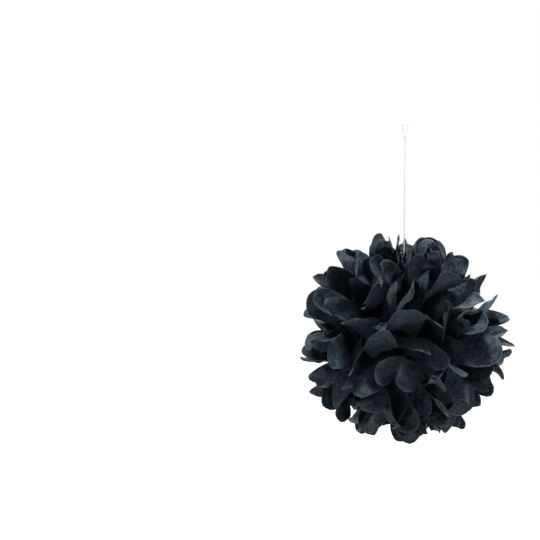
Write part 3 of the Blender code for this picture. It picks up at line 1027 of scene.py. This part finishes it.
        # Past the notches a petal is free of its neighbours, and goes on from its panel by its true length
        free = np.flatnonzero(radius > notch)
        past = (radius - notch)[free, None]
        every = np.arange(self.panel_count)
        half, none = np.full(self.panel_count, 0.5), np.zeros(self.panel_count)
        foot = self.radius - self.petal_length + (folds[:-1, 2] + folds[1:, 2]) / 2.0
        ends = [
            self.pleated_points(plan, end, every, half + step, foot - back, none)
            for step, back in ((0.0, 0.0), (0.0, self.foot_step), (0.5, 0.0), (-0.5, 0.0))
        ]
        foot_line = unit(ends[2] - ends[3])
        petal_way = ends[0] - ends[1]
        petal_way = unit(petal_way - foot_line * np.sum(petal_way * foot_line, axis=1, keepdims=True))
        normal = np.cross(foot_line, petal_way)
        still = np.zeros(len(free))
        here = [
            self.pleated_points(plan, end, index[free], part[free], notch[free] - back, still)
            for back in (0.0, self.foot_step)
        ]
        stiff = self.petal_stiffness
        onward = unit(unit(here[0] - here[1]) * (1.0 - stiff) + petal_way[index[free]] * stiff)
        bend, cup = self.plan_bends(plan, end)
        high = self.creases(plan.number, flat_across[free], end.value * flat[free])
        rise = (high - low[free] / np.maximum(middle[free], self.least_middle)) * middle[free] + lifted[free]
        rise = rise + bend[index[free]] * past[:, 0] ** 2
        rise = rise + cup[index[free]] * past[:, 0] * (middle[free] - self.cup_level)
        points[free] += onward * past + normal[index[free]] * rise[:, None]
        aside = (part[free] - 0.5) * np.linalg.norm(ends[2] - ends[3], axis=1)[index[free]]
        twist = self.plan_twists(plan, end)[index[free]] * past[:, 0] / self.petal_length
        points[free] += foot_line[index[free]] * (aside * (np.cos(twist) - 1.0))[:, None]
        points[free] += normal[index[free]] * (aside * np.sin(twist))[:, None]
        return points, flat

    def plan_twists(self, plan: SheetPlan, end: End) -> np.ndarray:
        """Chooses how far each petal of one end of a sheet is twisted at its tip.

        Args:
            plan: The sheet's plan.
            end: Which end of the sheet.

        Returns:
            An angle for each petal.
        """
        chance = np.random.default_rng((self.mark_seed, TWIST_DRAWS + plan.number, end.value + 1))
        twists = self.petal_twist * chance.uniform(self.least_twist, 1.0, self.panel_count)
        return twists * chance.choice((-1.0, 1.0), self.panel_count)

    def plan_bends(self, plan: SheetPlan, end: End) -> tuple[np.ndarray, np.ndarray]:
        """Chooses how each petal of one end of a sheet bends along its length and is cupped across it.

        Args:
            plan: The sheet's plan.
            end: Which end of the sheet.

        Returns:
            A bend and a cup for each petal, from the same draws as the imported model's.
        """
        chance = random.Random(self.petal_seed + 100 * plan.number + (1 - end.value) // 2)
        bends = [
            (chance.uniform(-1.0, 1.0) * self.petal_bend, chance.uniform(-1.0, 1.0) * self.petal_cup)
            for _ in range(self.panel_count)
        ]
        bend, cup = np.transpose(bends)
        return bend, cup

    def fluttered(self, points: np.ndarray, share: np.ndarray) -> np.ndarray:
        """Gives the undulation that all the petals of one place share.

        Args:
            points: The points.
            share: How far out each is, as a share of the ball's radius.

        Returns:
            The shift of each point.
        """
        chance = np.random.default_rng(self.mark_seed)
        shift = np.zeros_like(points)
        start, length = self.flutter_start
        for sharp in (False,) * self.soft_waves + (True,) * self.sharp_waves:
            way = chance.normal(size=3)
            way /= chance.uniform(*self.flutter_length) * (1.0 if sharp else self.soft_flutter) * np.linalg.norm(way)
            push = chance.normal(size=3)
            phase = points @ way + chance.uniform()
            wave = self.sharp_height * triangle(phase) if sharp else np.sin(2.0 * math.pi * phase)
            shift += wave[:, None] * push / np.linalg.norm(push)
        return shift * self.flutter * eased((share - start) / length)[:, None]

    def sheet_points(self, plan: SheetPlan) -> tuple[np.ndarray, np.ndarray, np.ndarray]:
        """Places every point of a sheet, from the rim of one end, through the tie, to the rim of the other.

        Args:
            plan: The sheet's plan.

        Returns:
            The points as rows by columns, their places on the flat sheet, and how much lighter each is painted near the
            rim, for light through a single sheet.
        """
        even = np.linspace(0.0, 1.0, self.columns + 1)[:-1]
        bunched = 0.5 - 0.5 * np.cos(math.pi * even)
        out_rows = 1.0 - (1.0 - np.linspace(0.0, 1.0, self.rows + 1)) ** self.rim_crowding
        share = (out_rows**2)[:, None, None]
        within = even * (1.0 - share) + bunched * share
        panels = np.arange(self.panel_count)[None, :, None]
        across = (panels + within).reshape(self.rows + 1, -1)
        across = np.concatenate([across, np.full((self.rows + 1, 1), float(self.panel_count))], axis=1)
        out = np.repeat(out_rows[:, None], across.shape[1], axis=1)

        grown = self.neck_pitch * min(plan.number - 1, self.sheet_count - plan.number)
        height = self.neck_pitch * ((self.sheet_count - 1) / 2.0 - (plan.number - 1))
        strip = np.array(Matrix.Rotation(self.seam_azimuth + math.pi / 2.0, 3, "Z"))
        ends = {}
        for end in End:
            points, flat = self.end_points(plan, end, across.ravel(), out.ravel())
            fade = np.maximum(0.0, 1.0 - np.linalg.norm(points, axis=1) / self.neck_fade)
            place = np.stack([
                np.full(across.size, end.value * (self.neck_half_length + grown)),
                (self.neck_half_width + grown) * (2.0 * across.ravel() / self.panel_count - 1.0),
                np.full(across.size, height),
            ], axis=-1)
            points = points + (place @ strip.T) * fade[:, None]
            shape = (*across.shape, -1)
            ends[end] = (points.reshape(shape), (flat + self.neck_half_length).reshape(across.shape))
        points = np.concatenate([ends[End.SECOND][0][::-1], ends[End.FIRST][0]])
        along = np.concatenate([-ends[End.SECOND][1][::-1], ends[End.FIRST][1]])
        flat_across = np.concatenate([across[::-1], across]) * self.panel_width
        # Painted light: the colour is lightened towards the rim, for light coming through a single sheet
        past = np.concatenate([out[::-1], out]) - (1.0 - self.light_through_rim)
        rim = eased(past / self.light_through_rim) * self.light_through_strength
        points = points + np.array((0.0, 0.0, -self.drop))
        return points, np.stack([flat_across, along], axis=-1), rim

    def make_sheet(self, plan: SheetPlan, tissue: bpy.types.Material) -> bpy.types.Object:
        """Makes one sheet as thin paper and dresses it.

        Args:
            plan: The sheet's plan.
            tissue: Its material.

        Returns:
            The sheet.
        """
        name = f"black_tissue_sheet_{plan.number}"
        points, flat, rim = self.sheet_points(plan)
        mesh = grid_mesh(name, points)
        set_uv(mesh, flat.reshape(-1, 2))
        # The rim attribute carries that painted light to the material
        mesh.attributes.new("rim", "FLOAT", "POINT").data.foreach_set("value", rim.ravel())
        mesh.materials.append(tissue)
        sheet = linked(name, mesh)
        alone(sheet)
        bpy.ops.object.shade_smooth_by_angle(angle=self.smooth_under)
        paper = sheet.modifiers.new("paper", "SOLIDIFY")
        paper.thickness = self.thickness
        paper.offset = 0.0
        bpy.ops.object.modifier_apply(modifier=paper.name)
        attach(sheet, BODY)
        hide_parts(f"tissue_sheet_{plan.number}")
        return sheet

    def build(self) -> None:
        """Makes every sheet."""
        tissue = BlackTissue(pleat=self.panel_width).make()
        for plan in self.plan_sheets():
            sheet = self.make_sheet(plan, tissue)
            LOG.info("%s: %d faces", sheet.name, len(sheet.data.polygons))


# The string


@dataclass(frozen=True)
class HangingString:
    """The two-ply string, from the twisted wire up to its loop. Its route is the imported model's own."""

    radius: float = 0.0010
    twist_foot: float = 0.00665
    twist_height: float = 0.010
    ring_radius: float = 0.00245
    clearance: float = 0.0003
    lead: float = 0.014
    loop_height: float = 0.022
    loop_width: float = 0.012
    knot_radius: float = 0.0023
    drop: float = 0.400
    route_points: int = 48
    foot_crowding: float = 1.4  # brings the route's points closer together towards its foot
    twist_pitch: float = 0.0052  # one turn of a ply
    ply_depth: float = 0.34  # of the groove between the plies, to the string's radius
    ply_roundness: float = 0.8
    end_taper: float = 0.35
    ring_step: float = 0.0006
    around: int = 16
    smooth_under: float = math.radians(60.0)
    knot_size: float = 0.00046
    knot_gap: float = 0.08  # radians between the knot's two ends and its top
    knot_points: int = 90
    loop_points: int = 60

    def route(self) -> np.ndarray:
        """Gives the long run's centre line, from the wire up to the knot under the loop.

        Returns:
            The points.
        """
        start = -self.drop + self.twist_foot + 2.0 * self.radius + self.clearance
        end = -self.loop_height - 2.0 * self.knot_radius - self.clearance
        share = (np.arange(self.route_points) / (self.route_points - 1)) ** self.foot_crowding
        height = start + (end - start) * share
        above_twist = height + self.drop - self.twist_foot - self.twist_height
        aside = self.ring_radius * (1.0 - eased(above_twist / self.lead))
        return np.stack([aside, np.zeros_like(aside), height], axis=-1)

    def spun(self, name: str, line: np.ndarray) -> bpy.types.Mesh:
        """Makes a cord of two plies twisted round each other along a line.

        Args:
            name: The mesh's name.
            line: The centre line.

        Returns:
            The mesh, with its ends drawn in but still open.
        """
        steps = np.linalg.norm(np.diff(line, axis=0), axis=1)
        travelled = np.concatenate([[0.0], np.cumsum(steps)])
        count = max(8, int(travelled[-1] / self.ring_step))
        even = np.linspace(0.0, travelled[-1], count + 1)
        centre = np.stack([np.interp(even, travelled, line[:, axis]) for axis in range(3)], axis=-1)
        ahead = np.gradient(centre, axis=0)
        ahead /= np.linalg.norm(ahead, axis=1)[:, None]

        # The cross ways start anywhere across the line, and are carried along it without turning round it
        side = [np.cross(ahead[0], (0.3, 1.0, 0.2))]
        for way in ahead[1:]:
            side.append(side[-1] - way * np.dot(side[-1], way))
            side[-1] /= np.linalg.norm(side[-1])
        side[0] /= np.linalg.norm(side[0])
        sides = np.array(side)
        other = np.cross(ahead, sides)
        angle = np.linspace(0.0, 2.0 * math.pi, self.around, endpoint=False)[None, :]
        turns = travelled[-1] / self.twist_pitch
        lobe = np.abs(np.cos(angle - math.pi * turns * (even / travelled[-1])[:, None]))
        reach = self.radius * (1.0 - self.ply_depth + self.ply_depth * lobe**self.ply_roundness)
        reach[[0, -1]] *= self.end_taper
        ring = reach[..., None] * (
            np.cos(angle)[..., None] * sides[:, None] + np.sin(angle)[..., None] * other[:, None]
        )
        mesh = grid_mesh(name, centre[:, None] + ring, closed_across=True)
        # This attribute carries painted shade, for darkening the grooves between the plies
        mesh.attributes.new("groove", "FLOAT", "POINT").data.foreach_set("value", (1.0 - lobe).ravel() ** 2)
        return mesh

    def make_piece(self, name: str, line: np.ndarray, cotton: bpy.types.Material) -> bpy.types.Object:
        """Makes a piece of the string along a line, closed at both ends, and dresses it.

        Args:
            name: Its name.
            line: Its centre line.
            cotton: Its material.

        Returns:
            The piece.
        """
        mesh = self.spun(name, line)
        mesh.materials.append(cotton)
        piece = linked(name, mesh)
        alone(piece)
        bpy.ops.object.mode_set(mode="EDIT")
        bpy.ops.mesh.select_mode(type="EDGE")
        bpy.ops.mesh.select_all(action="DESELECT")
        bpy.ops.mesh.select_non_manifold()
        bpy.ops.mesh.edge_face_add()
        bpy.ops.mesh.select_all(action="SELECT")
        bpy.ops.mesh.normals_make_consistent(inside=False)
        bpy.ops.object.mode_set(mode="OBJECT")
        bpy.ops.object.shade_smooth_by_angle(angle=self.smooth_under)
        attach(piece, BODY)
        return piece

    def knot_line(self) -> np.ndarray:
        """Gives the centre line of the knot under the loop, a pulled-up overhand knot.

        Returns:
            The points.
        """
        turn = np.linspace(self.knot_gap, 2.0 * math.pi - self.knot_gap, self.knot_points)
        size = self.knot_size
        across = np.sin(turn) + 2.0 * np.sin(2.0 * turn)
        deep = np.cos(turn) - 2.0 * np.cos(2.0 * turn)
        up = -1.5 * np.sin(3.0 * turn)
        centre = -self.loop_height - self.knot_radius
        return np.stack([size * across, size * up, centre + size * deep], axis=-1)

    def loop_line(self) -> np.ndarray:
        """Gives the loop's centre line, a drop that stands on the knot.

        Its powers round the drop's top and draw its two legs together at the foot.

        Returns:
            The points.
        """
        turn = np.linspace(0.0, 1.0, self.loop_points)
        foot = -self.loop_height + self.clearance
        tall = self.loop_height - self.clearance - self.radius
        wide = self.loop_width / 2.0 - self.radius
        up = np.sin(math.pi * turn) ** 0.85
        across = 1.3 * wide * np.sin(2.0 * math.pi * turn) * np.sin(math.pi * turn) ** 0.6
        legs = self.radius * np.cos(math.pi * turn) * (1.0 - up)
        return np.stack([across + legs, np.zeros_like(turn), foot + tall * up], axis=-1)

    def build(self) -> None:
        cotton = TwistedCotton().make()
        route = self.route()
        run = self.make_piece("white_string", route, cotton)
        knot = self.make_piece("loop_knot_of_string", self.knot_line(), cotton)
        loop = self.make_piece("hanging_loop_of_string", self.loop_line(), cotton)
        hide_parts("hanging_string")
        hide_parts("loop_knot")
        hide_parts("hanging_loop")
        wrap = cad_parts["string_knot"]
        wrap.data.materials.clear()
        wrap.data.materials.append(cotton)


@dataclass(frozen=True)
class TieWire:
    """The wire that ties the sheets at the middle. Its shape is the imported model's own."""

    node: str = "tie_wire"

    def build(self) -> None:
        """Gives the wire its metal."""
        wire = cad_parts[self.node]
        wire.data.materials.clear()
        wire.data.materials.append(DrawnSteel().make())
        LOG.info("%s: dressed", self.node)


# The studio


@dataclass(frozen=True)
class Lamp:
    """A square soft lamp: where it stands, how wide it is and how strong."""

    name: str
    place: tuple[float, float, float]
    width: float
    watts: float


@dataclass(frozen=True)
class Studio:
    """The camera, the lamps, the white world and the floor."""

    ball_centre: tuple[float, float, float] = (0.0, 0.0, -0.400)
    pixel: float = 0.00185  # what one pixel of the 540 by 540 view covers at the ball
    ball_pixels: tuple[float, float] = (134.0, 70.0)  # the ball's centre, right of and below the view's
    look_down: float = math.radians(5.0)
    distance: float = 2.5
    lens: float = 90.0
    sensor: float = 36.0
    floor_height: float = -1.75
    floor_width: float = 30.0
    daylight: float = 0.36
    lamps: tuple[Lamp, ...] = (
        Lamp("key", (-0.2, -0.4, 2.3), 0.6, 185.0),
        Lamp("fill", (2.0, -1.6, 0.1), 1.4, 14.0),
        Lamp("rim", (0.6, 2.0, 1.2), 1.2, 80.0),
    )

    @staticmethod
    def seen_rays(tree: bpy.types.NodeTree) -> bpy.types.NodeSocket:
        """Gives 1 for rays that show the background: the camera's, and those of gloss and of glass.

        Args:
            tree: The node tree that asks.

        Returns:
            The socket with that number.
        """
        path = add_node(tree, "LightPath")
        glossy = add_node(
            tree, "Math", settings={"operation": "MAXIMUM"},
            links={0: path.outputs["Is Camera Ray"], 1: path.outputs["Is Glossy Ray"]},
        )
        every = add_node(
            tree, "Math", settings={"operation": "MAXIMUM"},
            links={0: glossy, 1: path.outputs["Is Transmission Ray"]},
        )
        return every.outputs["Value"]

    def build_camera(self) -> None:
        """Places the camera level with the photograph's view, a little above the ball."""
        right, below = (pixels * self.pixel for pixels in self.ball_pixels)
        aim = Vector(self.ball_centre) + Vector((-right, 0.0, below))
        data = bpy.data.cameras.new("camera")
        data.lens = self.lens
        data.sensor_width = self.sensor
        camera = bpy.data.objects.new("camera", data)
        back = Vector((0.0, -math.cos(self.look_down), math.sin(self.look_down)))
        camera.location = aim + back * self.distance
        camera.rotation_euler = (math.pi / 2.0 - self.look_down, 0.0, 0.0)
        bpy.context.scene.collection.objects.link(camera)
        bpy.context.scene.camera = camera
        LOG.info("camera: %.0f mm lens", self.lens)

    def build_light(self) -> None:
        """Hangs the soft lamps and lights the world."""
        for lamp in self.lamps:
            data = bpy.data.lights.new(lamp.name, "AREA")
            data.size = lamp.width
            data.energy = lamp.watts
            holder = bpy.data.objects.new(lamp.name, data)
            holder.location = lamp.place
            aim = Vector(self.ball_centre) - Vector(lamp.place)
            holder.rotation_euler = aim.to_track_quat("-Z", "Y").to_euler()
            bpy.context.scene.collection.objects.link(holder)
        world = bpy.data.worlds.new("white_studio")
        world.use_nodes = True
        tree = world.node_tree
        tree.nodes.clear()
        dim = add_node(tree, "Background", values={"Color": (1.0, 1.0, 1.0, 1.0), "Strength": self.daylight})
        white = add_node(tree, "Background", values={"Color": (1.0, 1.0, 1.0, 1.0), "Strength": 1.0})
        shown = add_node(
            tree, "MixShader",
            links={0: self.seen_rays(tree), 1: dim, 2: white},
        )
        add_node(tree, "OutputWorld", links={"Surface": shown})
        bpy.context.scene.world = world
        bpy.context.scene.view_settings.view_transform = "Standard"
        LOG.info("light: %d lamps and a white world", len(self.lamps))

    def build_floor(self) -> None:
        """Lays the white floor well below the ball."""
        half = self.floor_width / 2.0
        corners = np.array([[(-half, -half), (half, -half)], [(-half, half), (half, half)]])
        level = np.full((2, 2, 1), self.floor_height)
        floor = linked("floor", grid_mesh("floor", np.concatenate([corners, level], axis=2)))
        floor.data.materials.append(WhitePaperSweep().make())
        LOG.info("floor: %.2f m below the loop", -self.floor_height)


def main() -> None:
    """Builds the camera and the string, then the rest."""
    logging.basicConfig(level=logging.INFO, format="%(name)s %(message)s")
    studio = Studio()
    studio.build_camera()
    HangingString().build()
    TieWire().build()
    Ball().build()
    studio.build_light()
    studio.build_floor()


if __name__ == "__main__":
    main()
